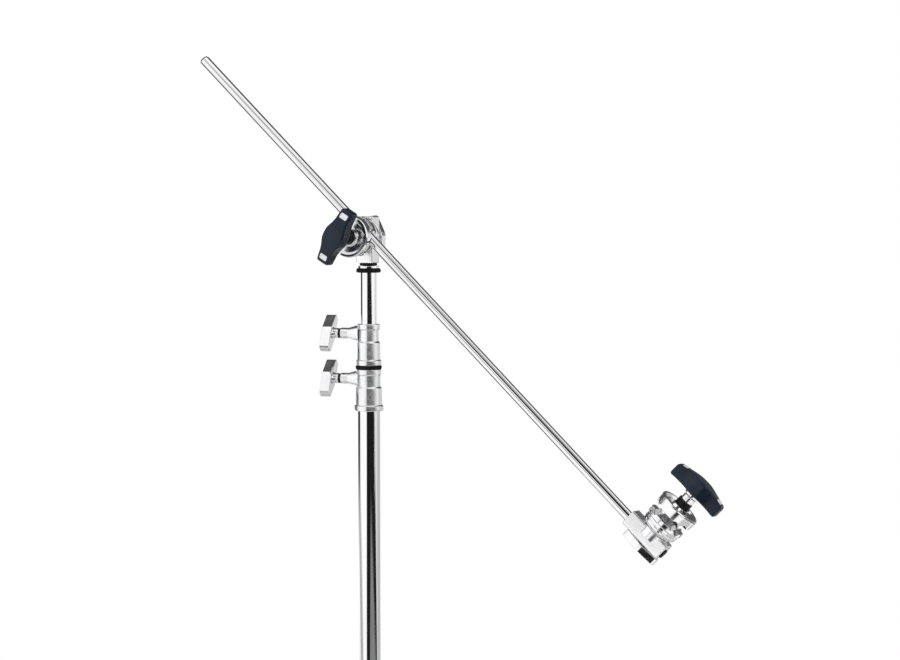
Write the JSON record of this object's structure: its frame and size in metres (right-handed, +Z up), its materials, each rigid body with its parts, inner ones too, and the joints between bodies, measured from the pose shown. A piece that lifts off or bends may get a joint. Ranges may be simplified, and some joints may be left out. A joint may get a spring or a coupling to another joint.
{
  "type": "grip stand",
  "caption": "Telescoping studio grip stand with nesting bent legs, a clamp head, a long arm and a second clamp head on the arm's end.",
  "frame": {"origin": "on the column's axis, at the flat underside of its foot cap; the feet reach the floor 85 mm below", "axes": "+Z up along the column; +X to the side the arm's lower end hangs, +Y away from the side of the first head's handle"},
  "size_m": [0.9303, 0.7697, 1.6949],
  "materials": {
    "chrome_tube": "mirror chrome plate on steel tube",
    "satin_casting": "bright satin plated casting",
    "polished_casting": "polished plated casting",
    "plain_steel": "zinc plated steel",
    "brass_shoe": "turned brass",
    "black_rubber": "matt black rubber",
    "dark_plastic": "dark blue-black moulded plastic, fine grain",
    "black_nylon": "black nylon"
  },
  "bodies": {
    "base": {"column_foot_cap": "black_nylon", "column_tube": "chrome_tube", "base_spring": "plain_steel", "top_leg_hub": "satin_casting", "top_leg": "chrome_tube", "top_leg_foot": "black_rubber", "lower_hub_washer": "black_nylon", "upper_hub_washer": "black_nylon", "lower_collar": "satin_casting", "lower_collar_bushing": "black_nylon", "lower_knob_washer": "black_rubber"},
    "middle_leg_set": {"middle_leg_hub": "satin_casting", "middle_leg": "chrome_tube", "middle_leg_foot": "black_rubber"},
    "lower_leg_set": {"lower_leg_hub": "satin_casting", "lower_leg": "chrome_tube", "lower_leg_foot": "black_rubber"},
    "lower_shoe": {"lower_brake_shoe": "brass_shoe"},
    "lower_knob": {"lower_lock_screw": "plain_steel", "lower_t_knob": "polished_casting"},
    "middle_riser": {"middle_riser_tube": "chrome_tube", "middle_riser_guide": "black_nylon", "collar_cushion_ring": "black_rubber", "upper_collar": "satin_casting", "upper_collar_bushing": "black_nylon", "upper_knob_washer": "black_rubber"},
    "upper_shoe": {"upper_brake_shoe": "brass_shoe"},
    "upper_knob": {"upper_lock_screw": "plain_steel", "upper_t_knob": "polished_casting"},
    "top_riser": {"top_riser_tube": "chrome_tube", "top_riser_guide": "black_nylon", "top_bumper": "black_rubber", "top_stud": "chrome_tube", "top_stud_washer": "black_rubber"},
    "head": {"head_body": "satin_casting", "head_clamp_bolt": "plain_steel"},
    "head_shoe": {"head_lock_shoe": "brass_shoe"},
    "head_knob": {"head_lock_screw": "plain_steel", "head_t_knob": "polished_casting"},
    "head_jaws": {"head_inner_jaw": "polished_casting", "head_jaw_spring": "plain_steel"},
    "head_front_jaw": {"head_outer_jaw": "polished_casting"},
    "head_grip": {"head_thrust_bearing": "black_nylon", "head_handle_sleeve": "polished_casting", "head_handle": "dark_plastic"},
    "arm": {"arm_tube": "chrome_tube", "arm_top_plug": "black_nylon", "arm_end_plug": "black_nylon"},
    "end_head": {"end_head_body": "satin_casting", "end_head_clamp_bolt": "plain_steel"},
    "end_shoe": {"end_head_lock_shoe": "brass_shoe"},
    "end_knob": {"end_head_lock_screw": "plain_steel", "end_head_t_knob": "polished_casting"},
    "end_jaws": {"end_head_inner_jaw": "polished_casting", "end_head_jaw_spring": "plain_steel"},
    "end_front_jaw": {"end_head_outer_jaw": "polished_casting"},
    "end_grip": {"end_head_thrust_bearing": "black_nylon", "end_head_handle_sleeve": "polished_casting", "end_head_handle": "dark_plastic"}
  },
  "joints": [
    {"name": "middle_leg_swivel", "type": "hinge", "parent": "base", "child": "middle_leg_set", "pos_m": [0, 0, 0.122], "axis": [0, 0, 1], "range_deg": [-108, 0]},
    {"name": "lower_leg_swivel", "type": "hinge", "parent": "base", "child": "lower_leg_set", "pos_m": [0, 0, 0.076], "axis": [0, 0, 1], "range_deg": [0, 108]},
    {"name": "lower_shoe_press", "type": "slide", "parent": "base", "child": "lower_shoe", "axis": [-0.9659, 0.2588, 0], "range_m": [0, 0.0045]},
    {"name": "lower_knob_turn", "type": "hinge", "parent": "lower_shoe", "child": "lower_knob", "pos_m": [0, 0, 1.109], "axis": [-0.9659, 0.2588, 0], "range_deg": [0, 1095]},
    {"name": "middle_riser_lift", "type": "slide", "parent": "base", "child": "middle_riser", "axis": [0, 0, 1], "range_m": [0, 0.97]},
    {"name": "upper_shoe_press", "type": "slide", "parent": "middle_riser", "child": "upper_shoe", "axis": [-0.9659, 0.2588, 0], "range_m": [0, 0.0045]},
    {"name": "upper_knob_turn", "type": "hinge", "parent": "upper_shoe", "child": "upper_knob", "pos_m": [0, 0, 1.1791], "axis": [-0.9659, 0.2588, 0], "range_deg": [0, 1095]},
    {"name": "top_riser_lift", "type": "slide", "parent": "middle_riser", "child": "top_riser", "axis": [0, 0, 1], "range_m": [-0.079, 0.88]},
    {"name": "head_pan", "type": "hinge", "parent": "top_riser", "child": "head", "pos_m": [0, 0, 1.3303], "axis": [0, 0, 1], "continuous": true},
    {"name": "head_shoe_press", "type": "slide", "parent": "head", "child": "head_shoe", "axis": [0.4305, 0.9026, 0], "range_m": [0, 0.0045]},
    {"name": "head_knob_turn", "type": "hinge", "parent": "head_shoe", "child": "head_knob", "pos_m": [0, 0, 1.3303], "axis": [0.4305, 0.9026, 0], "range_deg": [0, 1095]},
    {"name": "arm_tilt", "type": "hinge", "parent": "head", "child": "head_jaws", "pos_m": [0, 0, 1.3303], "axis": [-0.4305, -0.9026, 0], "range_deg": [-13, 100]},
    {"name": "head_jaw_open", "type": "slide", "parent": "head_jaws", "child": "head_front_jaw", "axis": [-0.4305, -0.9026, 0], "range_m": [0, 0.0035], "deforming": ["head_jaw_spring"]},
    {"name": "head_handle_turn", "type": "hinge", "parent": "head_front_jaw", "child": "head_grip", "pos_m": [0, 0, 1.3303], "axis": [-0.4305, -0.9026, 0], "range_deg": [0, 730]},
    {"name": "arm_slide", "type": "slide", "parent": "head_jaws", "child": "arm", "axis": [0.6547, -0.3123, -0.6884], "range_m": [-0.5, 0.32]},
    {"name": "end_head_roll", "type": "hinge", "parent": "arm", "child": "end_head", "pos_m": [-0.00965, -0.04581, 1.34191], "axis": [0.6547, -0.3123, -0.6884], "continuous": true},
    {"name": "end_shoe_press", "type": "slide", "parent": "end_head", "child": "end_shoe", "axis": [-0.6629, 0.2004, -0.7214], "range_m": [0, 0.0045]},
    {"name": "end_knob_turn", "type": "hinge", "parent": "end_shoe", "child": "end_knob", "pos_m": [0.4133, -0.24754, 0.89723], "axis": [-0.6629, 0.2004, -0.7214], "range_deg": [0, 1095]},
    {"name": "end_jaw_swivel", "type": "hinge", "parent": "end_head", "child": "end_jaws", "pos_m": [0.4133, -0.24754, 0.89723], "axis": [0.6629, -0.2004, 0.7214], "continuous": true},
    {"name": "end_jaw_open", "type": "slide", "parent": "end_jaws", "child": "end_front_jaw", "axis": [0.6629, -0.2004, 0.7214], "range_m": [-0.0035, 0.00175], "deforming": ["end_head_jaw_spring"]},
    {"name": "end_handle_turn", "type": "hinge", "parent": "end_front_jaw", "child": "end_grip", "pos_m": [0.4133, -0.24754, 0.89723], "axis": [0.6629, -0.2004, 0.7214], "range_deg": [-730, 368]}
  ],
  "couplings": [
    {"joint": "lower_knob_turn", "follows": "lower_shoe_press", "rad_per_m": 4188.8},
    {"joint": "upper_knob_turn", "follows": "upper_shoe_press", "rad_per_m": 4188.8},
    {"joint": "head_knob_turn", "follows": "head_shoe_press", "rad_per_m": 4188.8},
    {"joint": "end_knob_turn", "follows": "end_shoe_press", "rad_per_m": 4188.8},
    {"joint": "head_handle_turn", "follows": "head_jaw_open", "rad_per_m": 3590.4},
    {"joint": "end_handle_turn", "follows": "end_jaw_open", "rad_per_m": 3590.4}
  ]
}
